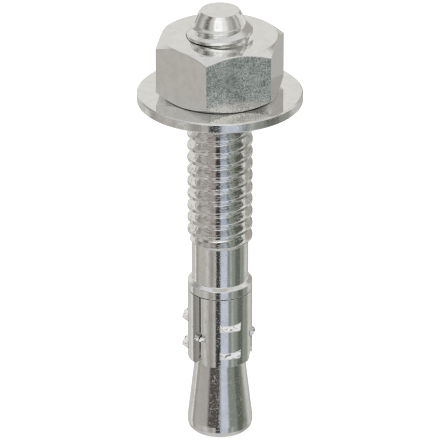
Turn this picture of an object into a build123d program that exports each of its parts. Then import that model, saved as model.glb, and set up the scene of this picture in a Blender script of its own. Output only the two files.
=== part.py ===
"""A wedge anchor: stud with a cone end, expansion clip, washer and hex nut.

The anchor stands upright on its cone end, as it goes into a drilled hole. The origin is the centre
of that end, +Z runs up the stud and -Y is the front. Lengths are millimetres, angles are degrees.
"""

import os
from math import ceil, cos, radians, sin, sqrt, tan

from build123d import *

# Stud, from the cone end up
overall_length = 44.45
land_diameter = 6.36
land_top = 1.25
end_round = 0.7
end_round_steps = (0, 30, 60, 90)
cone_half_angle = 6.5
neck_diameter = 4.9
collar_diameter = 6.3
collar_height = 0.8
collar_bevel = 0.3
shank_diameter = 5.5
shank_length = 4.01

# Thread, right-handed, over the rest of the stud
thread_diameter = 6.3
thread_pitch = 1.27
thread_depth = 0.75
thread_crest_width = 0.26
thread_flank_angle = 30
thread_runout_length = 0.9
thread_lead_in = 2.02

# Point above the thread
point_length = 1.2
point_base_diameter = 4.9
point_tip_diameter = 4.1
point_flat_diameter = 3.7
point_edge_height = 0.28

# Expansion clip, one rolled strip with three segments
clip_bottom = 7.93
clip_height = 7.3
clip_diameter = 6.3
clip_wall = 0.6
clip_collar_gap = 0.08
seam_angle = -38
segment_turns = (116, 124, 120)
seam_width = 0.16
slot_width = 0.9
slot_height = 2.5
corner_round_width = 0.62
corner_round_height = 1.45

# Wedges pressed out of each segment
wedge_tops = (4.62, 1.65)
wedge_width = 2.2
wedge_height = 0.8
wedge_projection = 0.48
wedge_ridge_width = 1.45
wedge_ridge_drop = 0.45
wedge_ridge_height = 0.12

# Smaller tabs across the seam and above the slots, each with a notch over it
tab_bottom = 2.5
tab_width = 1.2
tab_height = 0.6
tab_projection = 0.3
tab_ridge_width = 0.95
tab_ridge_drop = 0.28
notch_height = 0.3
notch_depth = 0.18

# Washer and nut
stud_projection = 2.59
washer_thickness = 0.98
washer_diameter = 15.875
washer_bore = 7.14
washer_edge_bevel = 0.12
nut_across_flats = 11.11
nut_height = 5.7
nut_seat_gap = 0.06
nut_face_diameter = 11.0
nut_chamfer_angle = 35
nut_corner_angle = -11.6
nut_thread_clearance = 0.1

# What follows from them
land_radius = land_diameter / 2
neck_radius = neck_diameter / 2
collar_radius = collar_diameter / 2
shank_radius = shank_diameter / 2
thread_radius = thread_diameter / 2
root_radius = thread_radius - thread_depth
point_base_radius = point_base_diameter / 2
point_tip_radius = point_tip_diameter / 2
point_flat_radius = point_flat_diameter / 2
clip_radius = clip_diameter / 2
clip_bore_radius = clip_radius - clip_wall
washer_radius = washer_diameter / 2
washer_bore_radius = washer_bore / 2
nut_face_radius = nut_face_diameter / 2
nut_bore_radius = thread_radius + nut_thread_clearance
cone_top = land_top + (land_radius - neck_radius) / tan(radians(cone_half_angle))
clip_top = clip_bottom + clip_height
collar_bottom = clip_top + clip_collar_gap
collar_top = collar_bottom + collar_height
shank_bottom = collar_top + collar_bevel
thread_bottom = shank_bottom + shank_length
thread_start = thread_bottom - thread_lead_in
nut_top = overall_length - stud_projection
nut_bottom = nut_top - nut_height
washer_top = nut_bottom - nut_seat_gap
washer_bottom = washer_top - washer_thickness


def facing_plane(angle, distance, height):
    """An upright plane that faces outwards; its angle is measured from the front towards +X."""
    outwards = Vector(sin(radians(angle)), -cos(radians(angle)), 0)
    across = Vector(cos(radians(angle)), sin(radians(angle)), 0)
    return Plane(origin=outwards * distance + Vector(0, 0, height), x_dir=across, z_dir=outwards)


# Thread: each turn is ruled between helices, from crest to crest
crest_edge = thread_crest_width / 2
flank_rise = thread_depth * tan(radians(thread_flank_angle))
thread_profile = [
    (thread_radius, -crest_edge),
    (thread_radius, crest_edge),
    (root_radius, crest_edge + flank_rise),
    (root_radius, thread_pitch - crest_edge - flank_rise),
    (thread_radius, thread_pitch - crest_edge),
]
thread_turns = ceil((overall_length - thread_start) / thread_pitch) + 1


def thread_helix(radius, bottom):
    """One turn of a helix that starts on the +X side."""
    return Edge.make_helix(thread_pitch, thread_pitch, radius, center=(0, 0, bottom))


def threaded_bar(profile, bottom, turns):
    """A bar of whole turns; the profile is (radius, height) points up one pitch."""
    faces = []
    for turn in range(turns):
        turn_bottom = bottom + turn * thread_pitch
        helices = [thread_helix(radius, turn_bottom + height) for radius, height in profile]
        for lower, upper in zip(helices, helices[1:]):
            faces.append(Face.make_surface_from_curves(lower, upper))

    # Each end is a spiral ramp round the axis, closed by an upright step of the profile's outline
    outer_radius, first_height = profile[0]
    for end in (bottom, bottom + turns * thread_pitch):
        ramp_bottom = (0, 0, end + first_height)
        ramp_top = (0, 0, end + first_height + thread_pitch)
        outer_turn = thread_helix(outer_radius, end + first_height)
        faces.append(Face.make_surface_from_curves(outer_turn, Edge.make_line(ramp_bottom, ramp_top)))
        outline = [(radius, 0, end + height) for radius, height in profile]
        faces.append(Face(Wire.make_polygon([ramp_bottom, *outline, ramp_top], close=True)))
    return Solid(Shell(faces))


# Stud: the threaded bar turned down at both ends, on a turned shank, collar, neck and cone
end_clearance = 1.4
joint_overlap = 0.1
blank_bottom = thread_bottom - joint_overlap
blank_bottom_radius = shank_radius - joint_overlap
core_radius = root_radius - joint_overlap
runout_slope = thread_runout_length / (shank_radius - root_radius)
core_top = thread_bottom + runout_slope * (shank_radius - core_radius)
point_bottom = overall_length - point_length
point_edge = overall_length - point_edge_height
with BuildPart() as stud:
    add(threaded_bar(thread_profile, thread_start, thread_turns))

    # The run-out below and the point above, both clear of the crests between them
    with BuildSketch(Plane.XZ):
        with BuildLine():
            Polyline(
                (0, blank_bottom),
                (blank_bottom_radius, blank_bottom),
                (blank_bottom_radius + end_clearance, blank_bottom + end_clearance),
                (point_base_radius + end_clearance, point_bottom - end_clearance),
                (point_base_radius, point_bottom),
                (point_tip_radius, point_edge),
                (point_flat_radius, overall_length),
                (0, overall_length),
                close=True,
            )
        make_face()
    revolve(axis=Axis.Z, mode=Mode.INTERSECT)

    # The end's round is drawn as three short bevels
    with BuildSketch(Plane.XZ):
        with BuildLine():
            Polyline(
                (0, 0),
                *[
                    (land_radius - end_round * (1 - sin(angle)), end_round * (1 - cos(angle)))
                    for angle in map(radians, end_round_steps)
                ],
                (land_radius, land_top),
                (neck_radius, cone_top),
                (neck_radius, collar_bottom),
                (collar_radius, collar_bottom),
                (collar_radius, collar_top),
                (shank_radius, shank_bottom),
                (shank_radius, thread_bottom),
                (core_radius, core_top),
                (0, core_top),
                close=True,
            )
        make_face()
    revolve(axis=Axis.Z)
stud.part.label = "stud"


quarter_turn = 90


def pressed_wedge(angle, top, width, height, projection, ridge_width, ridge_drop):
    """A low wedge on the clip's wall, with a level ridge that stands out below its top edge."""
    seat = sqrt(clip_radius**2 - (width / 2) ** 2)
    ridge_start = (width - ridge_width) / 2
    with Locations(facing_plane(angle, seat, clip_bottom + top)):
        Wedge(
            xsize=width,
            ysize=clip_radius + projection - seat,
            zsize=height,
            xmin=ridge_start,
            zmin=ridge_drop,
            xmax=ridge_start + ridge_width,
            zmax=ridge_drop + wedge_ridge_height,
            rotation=(quarter_turn, 0, 0),
            align=(Align.CENTER, Align.MIN, Align.MIN),
        )


# Expansion clip: a rolled tube; each segment has its wedges and starts at the seam or at a slot
tab_top = tab_bottom + tab_height
with BuildPart() as expansion_clip:
    with BuildSketch(Plane.XY.offset(clip_bottom)):
        Circle(clip_radius)
        Circle(clip_bore_radius, mode=Mode.SUBTRACT)
    extrude(amount=clip_height)

    segment_start = seam_angle
    for segment_turn in segment_turns:
        for wedge_top in wedge_tops:
            pressed_wedge(
                segment_start + segment_turn / 2,
                wedge_top,
                wedge_width,
                wedge_height,
                wedge_projection,
                wedge_ridge_width,
                wedge_ridge_drop,
            )
        pressed_wedge(
            segment_start,
            tab_top,
            tab_width,
            tab_height,
            tab_projection,
            tab_ridge_width,
            tab_ridge_drop,
        )
        with BuildSketch(facing_plane(segment_start, clip_radius - notch_depth, clip_bottom + tab_top)):
            Rectangle(tab_width, notch_height, align=(Align.CENTER, Align.MIN))
        extrude(amount=notch_depth, mode=Mode.SUBTRACT)

        # The gap where the segment starts, with the corners beside it rounded at the bottom
        is_seam = segment_start == seam_angle
        gap_width = seam_width if is_seam else slot_width
        gap_height = clip_height if is_seam else slot_height
        half_mouth = gap_width / 2 + corner_round_width
        with BuildSketch(facing_plane(segment_start, 0, clip_bottom)):
            Rectangle(gap_width, gap_height, align=(Align.CENTER, Align.MIN))
            Rectangle(2 * half_mouth, corner_round_height, align=(Align.CENTER, Align.MIN))
            for side in (-1, 1):
                with Locations((side * half_mouth, corner_round_height)):
                    Ellipse(corner_round_width, corner_round_height, mode=Mode.SUBTRACT)
        extrude(amount=clip_radius + wedge_projection, mode=Mode.SUBTRACT)
        segment_start += segment_turn
expansion_clip.part.label = "expansion_clip"

# Washer: flat ring, eased round the outside
with BuildPart() as washer:
    with BuildSketch(Plane.XY.offset(washer_bottom)):
        Circle(washer_radius)
        Circle(washer_bore_radius, mode=Mode.SUBTRACT)
    extrude(amount=washer_thickness)
    outer_edges = washer.edges().filter_by(GeomType.CIRCLE).group_by(SortBy.RADIUS)[-1]
    chamfer(outer_edges, length=washer_edge_bevel)
washer.part.label = "washer"

# Hex nut, chamfered at both faces and bored clear of the thread; its corners are turned from the front
hex_sides = 6
front_direction = -90
corner_radius = nut_across_flats / sqrt(3)
chamfer_drop = (corner_radius - nut_face_radius) * tan(radians(nut_chamfer_angle))
with BuildPart() as hex_nut:
    with BuildSketch(Plane.XY.offset(nut_bottom)):
        RegularPolygon(
            nut_across_flats / 2,
            hex_sides,
            major_radius=False,
            rotation=front_direction + nut_corner_angle,
        )
    extrude(amount=nut_height)
    with BuildSketch(Plane.XZ):
        with BuildLine():
            Polyline(
                (nut_bore_radius, nut_bottom),
                (nut_face_radius, nut_bottom),
                (corner_radius, nut_bottom + chamfer_drop),
                (corner_radius, nut_top - chamfer_drop),
                (nut_face_radius, nut_top),
                (nut_bore_radius, nut_top),
                close=True,
            )
        make_face()
    revolve(axis=Axis.Z, mode=Mode.INTERSECT)
hex_nut.part.label = "hex_nut"

os.makedirs("parts", exist_ok=True)
for piece in (stud, expansion_clip, washer, hex_nut):
    export_step(piece.part, f"parts/{piece.part.label}.step")
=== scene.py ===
"""Looks for a wedge anchor that stands on its cone end: stud, expansion clip, washer and hex nut."""

import math

import bpy
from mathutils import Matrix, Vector


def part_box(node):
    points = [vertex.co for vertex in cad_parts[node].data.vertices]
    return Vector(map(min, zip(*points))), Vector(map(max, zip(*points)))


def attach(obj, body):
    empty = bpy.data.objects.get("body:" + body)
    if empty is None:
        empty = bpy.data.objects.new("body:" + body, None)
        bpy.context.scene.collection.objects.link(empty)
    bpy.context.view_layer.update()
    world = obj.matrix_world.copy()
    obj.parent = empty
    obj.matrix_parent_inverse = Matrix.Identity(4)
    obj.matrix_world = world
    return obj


MM = 0.001
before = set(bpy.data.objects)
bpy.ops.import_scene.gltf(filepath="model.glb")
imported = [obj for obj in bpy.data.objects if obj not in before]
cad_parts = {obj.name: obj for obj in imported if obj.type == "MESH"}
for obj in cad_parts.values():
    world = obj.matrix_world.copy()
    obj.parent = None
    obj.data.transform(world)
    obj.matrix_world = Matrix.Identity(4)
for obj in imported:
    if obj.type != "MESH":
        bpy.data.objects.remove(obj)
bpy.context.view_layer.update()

# Render: enough bounces for the light between the thread's flanks
PIXEL_FILTER_WIDTH = 1.1
MAX_BOUNCES = 16
GLOSSY_BOUNCES = 14
bpy.context.scene.view_settings.view_transform = "Standard"
bpy.context.scene.cycles.filter_width = PIXEL_FILTER_WIDTH
bpy.context.scene.cycles.max_bounces = MAX_BOUNCES
bpy.context.scene.cycles.glossy_bounces = GLOSSY_BOUNCES

# Camera: a long lens, a little above the object; lens and sensor in millimetres, limits in metres
CAMERA_PLACE = Vector((0, -371.6, 198.9)) * MM
CAMERA_TARGET = Vector((0, 0, 22.425)) * MM
CAMERA_LENS = 347.5
SENSOR_WIDTH = 36.0
NEAR_LIMIT = 0.01
FAR_LIMIT = 10.0


def make_camera():
    data = bpy.data.cameras.new("camera")
    data.lens = CAMERA_LENS
    data.sensor_width = SENSOR_WIDTH
    data.clip_start = NEAR_LIMIT
    data.clip_end = FAR_LIMIT
    camera = bpy.data.objects.new("camera", data)
    camera.location = CAMERA_PLACE
    camera.rotation_euler = (CAMERA_TARGET - CAMERA_PLACE).to_track_quat("-Z", "Y").to_euler()
    bpy.context.collection.objects.link(camera)
    bpy.context.scene.camera = camera


class Nodes:
    """Short calls for building a node tree."""

    def __init__(self, tree):
        self.tree = tree
        tree.nodes.clear()

    def add(self, kind, inputs=None, **settings):
        node = self.tree.nodes.new(kind)
        for name, value in settings.items():
            setattr(node, name, value)
        for name, value in (inputs or {}).items():
            socket = node.inputs[name]
            if isinstance(value, bpy.types.NodeSocket):
                self.tree.links.new(value, socket)
            else:
                socket.default_value = value
        return node

    def math(self, operation, *values):
        inputs = dict(enumerate(values))
        return self.add("ShaderNodeMath", inputs, operation=operation).outputs[0]

    def ramp(self, factor, stops):
        node = self.add("ShaderNodeValToRGB", {"Fac": factor})
        ramp = node.color_ramp
        while len(ramp.elements) < len(stops):
            ramp.elements.new(1.0)
        for element, (position, colour) in zip(ramp.elements, stops):
            element.position = position
            element.color = colour
        return node.outputs["Color"]

    def step(self, value, start, end):
        """From 0 at start to 1 at end, smoothly."""
        inputs = {"Value": value, "From Min": start, "From Max": end}
        node = self.add("ShaderNodeMapRange", inputs, interpolation_type="SMOOTHSTEP")
        return node.outputs["Result"]

    def mix(self, factor, a, b):
        inputs = {"Factor": factor, 6: a, 7: b}
        return self.add("ShaderNodeMix", inputs, data_type="RGBA").outputs[2]

    def noise(self, place, size, detail, roughness):
        inputs = {"Vector": place, "Scale": 1 / size, "Detail": detail, "Roughness": roughness}
        return self.add("ShaderNodeTexNoise", inputs).outputs["Fac"]

    def axes(self, vector):
        return self.add("ShaderNodeSeparateXYZ", {"Vector": vector}).outputs

    def azimuth(self, vector):
        """The angle round +Z in radians, 0 at the front and growing to the right."""
        axes = self.axes(vector)
        return self.math("ARCTAN2", axes["X"], self.math("MULTIPLY", axes["Y"], -1.0))

    def scaled(self, vector, scale):
        return self.add("ShaderNodeVectorMath", {0: vector, 1: scale}, operation="MULTIPLY").outputs[0]


def tone(red, green, blue):
    """A colour given as it shows on screen, from 0 to 255, as linear light."""
    light = [
        c / 12.92 if c <= 0.04045 else ((c + 0.055) / 1.055) ** 2.4
        for c in (red / 255, green / 255, blue / 255)
    ]
    return (*light, 1.0)


# Studio tones, as they show in the metal
WHITE = tone(248, 248, 248)
CREAM = tone(226, 225, 221)
PEARL = tone(212, 210, 206)
PALE = tone(190, 188, 185)
WARM = tone(175, 172, 166)
ASH = tone(170, 169, 165)
STONE = tone(163, 165, 162)
CLAY = tone(160, 157, 153)
ROSE = tone(162, 154, 149)
DUSK = tone(149, 146, 141)
BROWN = tone(112, 109, 104)
PEAT = tone(78, 74, 68)
DARK = tone(54, 59, 58)
UMBER = tone(66, 62, 58)
SOFTBOX = tone(188, 194, 206)
STEEL_BLUE = tone(166, 177, 193)
SAGE = tone(134, 139, 130)
MOSS = tone(122, 128, 119)
OLIVE = tone(96, 99, 92)
IVY = tone(90, 93, 85)
FERN = tone(126, 136, 131)
CEILING = tone(206, 207, 207)
GROUND = tone(190, 189, 187)

# Studio walls: from and to an azimuth, 0 behind the camera and + to the right, with soft edges between.
# They were worked out from the bright and dark bands that the photographed metal mirrors.
# The lowest ones show in the thread, low ones in upright faces, middle ones in the cone, high ones in
# the stud's point and level faces.
LOWEST_WALLS = [
    (-180, -96, WARM),
    (-86, -24, ROSE),
    (-16, -2, UMBER),
    (5, 27, STEEL_BLUE),
    (33, 60, MOSS),
    (72, 100, IVY),
    (118, 180, STONE),
]
LOW_WALLS = [
    (-180, -128, PALE),
    (-123, -117, PEARL),
    (-111, -104, DUSK),
    (-94, -64, WARM),
    (-57, -50, PALE),
    (-38, -30, DUSK),
    (-22, -18, WARM),
    (-13, -2, DARK),
    (5, 27, SOFTBOX),
    (33, 39, FERN),
    (43, 47, STONE),
    (52, 60, SAGE),
    (70, 87, OLIVE),
    (92, 110, SAGE),
    (122, 140, PALE),
    (150, 180, ASH),
]
MIDDLE_WALLS = [
    (-180, -156, PEARL),
    (-147, -141, DUSK),
    (-134, -120, PEARL),
    (-111, -102, DUSK),
    (-94, -50, CLAY),
    (-40, -5, PEAT),
    (7, 27, SOFTBOX),
    (36, 60, MOSS),
    (68, 98, IVY),
    (105, 106, SAGE),
    (113, 145, CREAM),
    (155, 180, PALE),
]
HIGH_WALLS = [
    (-180, -140, PEARL),
    (-127, -110, DUSK),
    (-95, -86, PALE),
    (-70, -58, BROWN),
    (-46, -36, PALE),
    (-24, 6, WHITE),
    (14, 28, CREAM),
    (46, 58, WARM),
    (66, 76, DUSK),
    (86, 94, PALE),
    (98, 101, DUSK),
    (109, 128, PEARL),
    (136, 158, CLAY),
    (170, 180, PEARL),
]
# Heights, in degrees, between which the studio changes from one set of walls to the next
GROUND_SHOWS = (-42, -54)
LOWEST_SHOWS = (-28, -34)
MIDDLE_SHOWS = (-22, -16)
HIGH_SHOWS = (-8, 2)
CEILING_SHOWS = (42, 62)
# The share of the light that the metal gives back, which the studio makes up for
METAL_SHARE = 0.92
# What the camera sees behind the part, and the even light on matt things
BACKGROUND = (1.0, 1.0, 1.0, 1.0)
FILL_LIGHT = (0.62, 0.62, 0.62, 1.0)


def wall_stops(walls):
    """Stops for a colour ramp that runs once round the studio."""
    return [(azimuth / 360 + 0.5, colour) for *ends, colour in walls for azimuth in ends]


def make_world():
    world = bpy.data.worlds.new("studio")
    bpy.context.scene.world = world
    world.use_nodes = True
    nodes = Nodes(world.node_tree)
    direction = nodes.add("ShaderNodeTexCoord").outputs["Generated"]
    turn = nodes.math("MULTIPLY_ADD", nodes.azimuth(direction), 1 / math.tau, 0.5)
    height = nodes.math("DEGREES", nodes.math("ARCSINE", nodes.axes(direction)["Z"]))

    studio = nodes.ramp(turn, wall_stops(LOW_WALLS))
    for shows, walls in (
        (LOWEST_SHOWS, LOWEST_WALLS),
        (MIDDLE_SHOWS, MIDDLE_WALLS),
        (HIGH_SHOWS, HIGH_WALLS),
    ):
        studio = nodes.mix(nodes.step(height, *shows), studio, nodes.ramp(turn, wall_stops(walls)))
    for shows, colour in ((CEILING_SHOWS, CEILING), (GROUND_SHOWS, GROUND)):
        studio = nodes.mix(nodes.step(height, *shows), studio, colour)

    in_metal = nodes.add("ShaderNodeBackground", {"Color": studio, "Strength": 1 / METAL_SHARE})
    fill = nodes.add("ShaderNodeBackground", {"Color": FILL_LIGHT})
    white = nodes.add("ShaderNodeBackground", {"Color": BACKGROUND})
    light_path = nodes.add("ShaderNodeLightPath").outputs
    lit = nodes.add(
        "ShaderNodeMixShader",
        {0: light_path["Is Glossy Ray"], 1: fill.outputs[0], 2: in_metal.outputs[0]},
    )
    seen = nodes.add(
        "ShaderNodeMixShader",
        {0: light_path["Is Camera Ray"], 1: lit.outputs[0], 2: white.outputs[0]},
    )
    nodes.add("ShaderNodeOutputWorld", {"Surface": seen.outputs[0]})


# Floor: white to the camera with a faint shadow, and plain to all other light; metres
FLOOR_SIZE = 3.0
FLOOR_COLOUR = (0.8, 0.8, 0.8, 1.0)
FLOOR_MATT = (0.3, 0.3, 0.3, 1.0)
FLOOR_GLOW = 0.84


def make_floor():
    half = FLOOR_SIZE / 2
    corners = [(-half, -half, 0), (half, -half, 0), (half, half, 0), (-half, half, 0)]
    mesh = bpy.data.meshes.new("floor")
    mesh.from_pydata(corners, [], [(0, 1, 2, 3)])
    floor = bpy.data.objects.new("floor", mesh)
    bpy.context.collection.objects.link(floor)
    material = bpy.data.materials.new("floor_white")
    material.use_nodes = True
    nodes = Nodes(material.node_tree)
    matt = nodes.add("ShaderNodeBsdfDiffuse", {"Color": FLOOR_MATT})
    glow = nodes.add("ShaderNodeEmission", {"Color": BACKGROUND, "Strength": FLOOR_GLOW})
    seen = nodes.add("ShaderNodeAddShader", {0: matt.outputs[0], 1: glow.outputs[0]})
    plain = nodes.add("ShaderNodeBsdfDiffuse", {"Color": FLOOR_COLOUR})
    light_path = nodes.add("ShaderNodeLightPath").outputs
    surface = nodes.add(
        "ShaderNodeMixShader",
        {0: light_path["Is Camera Ray"], 1: plain.outputs[0], 2: seen.outputs[0]},
    )
    nodes.add("ShaderNodeOutputMaterial", {"Surface": surface.outputs[0]})
    mesh.materials.append(material)
    floor.visible_glossy = False


# Lamp: one large softbox above, which the metal doesn't mirror; metres and watts
LAMP_PLACE = Vector((-0.1, -0.15, 0.6))
LAMP_SIZE = 0.5
LAMP_POWER = 1.6


def make_lamp():
    data = bpy.data.lights.new("top_softbox", "AREA")
    data.shape = "SQUARE"
    data.size = LAMP_SIZE
    data.energy = LAMP_POWER
    lamp = bpy.data.objects.new("top_softbox", data)
    lamp.location = LAMP_PLACE
    lamp.rotation_euler = (-LAMP_PLACE).to_track_quat("-Z", "Y").to_euler()
    lamp.visible_glossy = False
    bpy.context.collection.objects.link(lamp)


# Zinc plating: bright, with duller patches, a fine grain, and small frosted spots that gather in the
# patches. Colours are the share of light that the metal gives back, and a pair such as PATCH_EDGE holds
# the two values of a noise between which a mark begins and is full.
ZINC_BRIGHT = (0.94, 0.94, 0.935, 1.0)
ZINC_DULL = (0.89, 0.89, 0.875, 1.0)
PATCHES = {"size": 0.9 * MM, "detail": 3.0, "roughness": 0.6}
PATCH_EDGE = (0.38, 0.62)
PATCH_PULL = 0.35
GRAIN = {"size": 0.2 * MM, "detail": 2.0, "roughness": 0.6}
SPOTS = {"detail": 2.0, "roughness": 0.7}
SPOT_ROUGHNESS = 0.4
NOISE_MIDDLE = 0.5
EDGE_SAMPLES = 6

# Stud: grain and spots drawn out along its thread, with brown flecks of painted dark reflection
THREAD_FROM = (20.3 * MM, 20.6 * MM)
THREAD_TO = (42.3 * MM, 41.9 * MM)
UNSTRETCHED = (1.0, 1.0, 1.0, 1.0)
ALONG_THREAD = (0.16, 0.16, 1.0, 1.0)
FLECKS = {"size": 0.11 * MM, "detail": 2.0, "roughness": 0.7}
FLECK_EDGE = (0.56, 0.66)
FLECK_PAINTED_REFLECTION = (0.6, 0.575, 0.54, 1.0)

# Clip: a band beside its seam with painted shade, given by the azimuths where it begins, is full, is
# full to and ends, and wedges and tabs that were torn out of the wall, pale and cracked
SEAM_SHADE_BAND = (-60, -50, -39, -37)
SEAM_PAINTED_SHADE = (0.6, 0.6, 0.59, 1.0)
LEVEL_PART = (1.0, 1.0, 0.0)
TORN_FROM = (3.18 * MM, 3.26 * MM)
TORN_DEPTH = 0.05 * MM
TORN_SCATTER = 0.7
TORN_PALE = (1.0, 1.0, 1.0, 1.0)
ALONG_CRACKS = (0.22, 0.22, 1.0)
CRACKS = {"size": 0.14 * MM, "detail": 2.0, "roughness": 0.5}
CRACK_EDGE = (0.55, 0.62)
CRACK_DARK = (0.3, 0.3, 0.3, 1.0)

# Washer and nut: their level faces are polished and have no spots. A face is told by how far it looks
# up, from -1 to 1, and each pair holds the values between which one kind of face passes into the next.
LEVEL_ENDS = (0.95, 0.88)

# Nut: one flat with painted shade, darkened and given dark and light specks of painted reflection, and
# chamfers below that scatter light
SHADED_FLAT_BAND = (-11.8, -11.4, 48.2, 48.6)
UPPER_CHAMFER_ENDS = (0.5, 0.3)
CLOUDS = {"size": 2.4 * MM, "detail": 2.0, "roughness": 0.6}
CLOUD_PULL = 0.3
SPECK_EDGE = (0.4, 0.57)
SPECK_PAINTED_SHADE = (0.41, 0.42, 0.4, 1.0)
SPECK_PAINTED_LIGHT = (1.0, 1.0, 0.97, 1.0)
SPOTS_OFF_FLAT = 0.3
LOWER_CHAMFER = (-0.3, -0.5)
LOWER_CHAMFER_SCATTER = 0.6


def in_band(nodes, place, begins, full_from, full_to, ends):
    """1 between two azimuths round the stud, 0 outside them."""
    azimuth = nodes.math("DEGREES", nodes.azimuth(place))
    return nodes.math(
        "MULTIPLY", nodes.step(azimuth, begins, full_from), nodes.step(azimuth, ends, full_to)
    )


def facing_up(nodes):
    return nodes.axes(nodes.add("ShaderNodeNewGeometry").outputs["Normal"])["Z"]


def pulled(nodes, noise, by, strength):
    """A noise that another one raises and lowers."""
    return nodes.math("MULTIPLY_ADD", nodes.math("SUBTRACT", by, NOISE_MIDDLE), strength, noise)


def roll(nodes, place, colour):
    """The stud's finish: the places that its marks are laid by, and its colour with flecks of painted
    dark reflection.
    """
    up = nodes.axes(place)["Z"]
    on_thread = nodes.math("MULTIPLY", nodes.step(up, *THREAD_FROM), nodes.step(up, *THREAD_TO))
    place = nodes.scaled(place, nodes.mix(on_thread, UNSTRETCHED, ALONG_THREAD))
    # Painted reflection: brown flecks on the thread stand for dark reflections
    painted_flecks = nodes.step(nodes.noise(place, **FLECKS), *FLECK_EDGE)
    colour = nodes.mix(nodes.math("MULTIPLY", painted_flecks, on_thread), colour, FLECK_PAINTED_REFLECTION)
    return place, colour


def press(nodes, place, colour, grain_depth):
    """The clip's finish: its colour, how metallic it is and how deep its grain is."""
    radius = nodes.add(
        "ShaderNodeVectorMath", {0: nodes.scaled(place, LEVEL_PART)}, operation="LENGTH"
    ).outputs["Value"]
    torn = nodes.step(radius, *TORN_FROM)
    cracks = nodes.step(nodes.noise(nodes.scaled(place, ALONG_CRACKS), **CRACKS), *CRACK_EDGE)
    # Painted shade: the band beside the seam is darkened
    colour = nodes.mix(in_band(nodes, place, *SEAM_SHADE_BAND), colour, SEAM_PAINTED_SHADE)
    colour = nodes.mix(torn, colour, nodes.mix(cracks, TORN_PALE, CRACK_DARK))
    metallic = nodes.math("MULTIPLY_ADD", torn, -TORN_SCATTER, 1.0)
    grain_depth = nodes.math("MULTIPLY_ADD", torn, TORN_DEPTH, grain_depth)
    return colour, metallic, grain_depth


def off_level(nodes, frosted):
    """The washer's and the nut's frosted spots, which keep off level faces."""
    level = nodes.math("ABSOLUTE", facing_up(nodes))
    return nodes.math("MULTIPLY", frosted, nodes.step(level, *LEVEL_ENDS))


def painted_shade_flat(nodes, place, colour, spots, frosted):
    """The nut's finish: its colour, with painted shade and painted specks on one flat, how metallic it
    is and its frosted spots.
    """
    up = facing_up(nodes)
    # Painted shade: one flat, facing front and right, is darkened and given dark and light specks of
    # painted reflection
    shaded_flat = nodes.math(
        "MULTIPLY", nodes.step(up, *UPPER_CHAMFER_ENDS), in_band(nodes, place, *SHADED_FLAT_BAND)
    )
    painted_specks = nodes.step(pulled(nodes, spots, nodes.noise(place, **CLOUDS), CLOUD_PULL), *SPECK_EDGE)
    colour = nodes.mix(shaded_flat, colour, nodes.mix(painted_specks, SPECK_PAINTED_SHADE, SPECK_PAINTED_LIGHT))
    below = nodes.step(up, *LOWER_CHAMFER)
    metallic = nodes.math("MULTIPLY_ADD", below, -LOWER_CHAMFER_SCATTER, 1.0)
    share = nodes.math("MULTIPLY_ADD", shaded_flat, 1 - SPOTS_OFF_FLAT, SPOTS_OFF_FLAT)
    return colour, metallic, nodes.math("MULTIPLY", frosted, share)


def zinc_steel(name, made, roughness, grain_depth, edge_radius, spot_size, spot_edge):
    """Zinc-plated steel, finished by how the piece was made."""
    material = bpy.data.materials.new(name)
    material.use_nodes = True
    nodes = Nodes(material.node_tree)
    place = nodes.add("ShaderNodeTexCoord").outputs["Object"]
    patches = nodes.noise(place, **PATCHES)
    colour = nodes.mix(nodes.step(patches, *PATCH_EDGE), ZINC_BRIGHT, ZINC_DULL)
    metallic = 1.0
    if made == "rolled":
        place, colour = roll(nodes, place, colour)
    if made == "pressed":
        colour, metallic, grain_depth = press(nodes, place, colour, grain_depth)
    spots = nodes.noise(place, spot_size, **SPOTS)
    frosted = nodes.step(pulled(nodes, spots, patches, PATCH_PULL), *spot_edge)
    if made in ("punched", "forged"):
        frosted = off_level(nodes, frosted)
    if made == "forged":
        # The nut's one flat gets painted shade and painted specks
        colour, metallic, frosted = painted_shade_flat(nodes, place, colour, spots, frosted)
    edge = nodes.add("ShaderNodeBevel", {"Radius": edge_radius}, samples=EDGE_SAMPLES)
    bump = nodes.add(
        "ShaderNodeBump",
        {
            "Height": nodes.noise(place, **GRAIN),
            "Strength": 1.0,
            "Distance": grain_depth,
            "Normal": edge.outputs[0],
        },
    )
    shader = nodes.add(
        "ShaderNodeBsdfPrincipled",
        {
            "Base Color": colour,
            "Metallic": metallic,
            "Roughness": nodes.math("MULTIPLY_ADD", frosted, SPOT_ROUGHNESS, roughness),
            "Normal": bump.outputs["Normal"],
        },
    )
    nodes.add("ShaderNodeOutputMaterial", {"Surface": shader.outputs[0]})
    return material


def paint(node_name, material):
    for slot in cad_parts[node_name].material_slots:
        slot.material = material


# The nut's inner thread, which the stud's thread runs in, in millimetres
THREAD_RADIUS = 3.15
THREAD_DEPTH = 0.75
THREAD_PITCH = 1.27
THREAD_START = 18.4
CREST_WIDTH = 0.26
FLANK_ANGLE = 30
RUNNING_CLEARANCE = 0.05
NUT_BORE = 3.25
COUNTERSINK_DEPTH = 0.35
THREAD_STEPS = 96
RISE_STEP = 0.05


def stud_radius(turn, height):
    """The stud's radius at a height, at a part of a turn from +X towards +Y."""
    from_crest = (height - THREAD_START - turn * THREAD_PITCH) % THREAD_PITCH
    from_crest = min(from_crest, THREAD_PITCH - from_crest)
    down_flank = max(from_crest - CREST_WIDTH / 2, 0) / math.tan(math.radians(FLANK_ANGLE))
    return THREAD_RADIUS - min(down_flank, THREAD_DEPTH)


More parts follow.
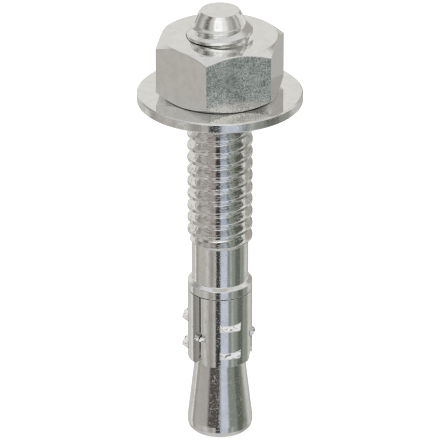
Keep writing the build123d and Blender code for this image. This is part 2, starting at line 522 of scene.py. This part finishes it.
def make_nut_thread(material):
    """The thread's surface from face to face, opening out to the bore at both ends."""
    low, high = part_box("hex_nut")
    bottom, top = low.z / MM, high.z / MM
    rows = math.ceil((top - bottom) / RISE_STEP)
    points = []
    for row in range(rows + 1):
        height = bottom + (top - bottom) * row / rows
        from_face = min(height - bottom, top - height)
        countersink = NUT_BORE - min(from_face, COUNTERSINK_DEPTH) * THREAD_DEPTH / COUNTERSINK_DEPTH
        for column in range(THREAD_STEPS):
            turn = column / THREAD_STEPS
            radius = min(max(stud_radius(turn, height) + RUNNING_CLEARANCE, countersink), NUT_BORE)
            angle = turn * math.tau
            points.append((radius * MM * math.cos(angle), radius * MM * math.sin(angle), height * MM))
    faces = []
    for row in range(rows):
        for column in range(THREAD_STEPS):
            beside = (column + 1) % THREAD_STEPS
            below, above = row * THREAD_STEPS, (row + 1) * THREAD_STEPS
            faces.append((below + column, above + column, above + beside, below + beside))
    mesh = bpy.data.meshes.new("nut_thread")
    mesh.from_pydata(points, [], faces)
    mesh.materials.append(material)
    thread = bpy.data.objects.new("nut_thread", mesh)
    bpy.context.collection.objects.link(thread)
    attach(thread, "nut")


make_camera()
make_world()
make_floor()
make_lamp()
paint(
    "stud",
    zinc_steel(
        "stud_zinc",
        made="rolled",
        roughness=0.04,
        grain_depth=0.005 * MM,
        edge_radius=0.1 * MM,
        spot_size=0.13 * MM,
        spot_edge=(0.57, 0.63),
    ),
)
paint(
    "expansion_clip",
    zinc_steel(
        "clip_zinc",
        made="pressed",
        roughness=0.05,
        grain_depth=0.004 * MM,
        edge_radius=0.05 * MM,
        spot_size=0.13 * MM,
        spot_edge=(0.58, 0.66),
    ),
)
paint(
    "washer",
    zinc_steel(
        "washer_zinc",
        made="punched",
        roughness=0.05,
        grain_depth=0.001 * MM,
        edge_radius=0.05 * MM,
        spot_size=0.13 * MM,
        spot_edge=(0.48, 0.6),
    ),
)
nut_zinc = zinc_steel(
    "nut_zinc",
    made="forged",
    roughness=0.05,
    grain_depth=0.0015 * MM,
    edge_radius=0.08 * MM,
    spot_size=0.09 * MM,
    spot_edge=(0.42, 0.6),
)
paint("hex_nut", nut_zinc)
make_nut_thread(nut_zinc)
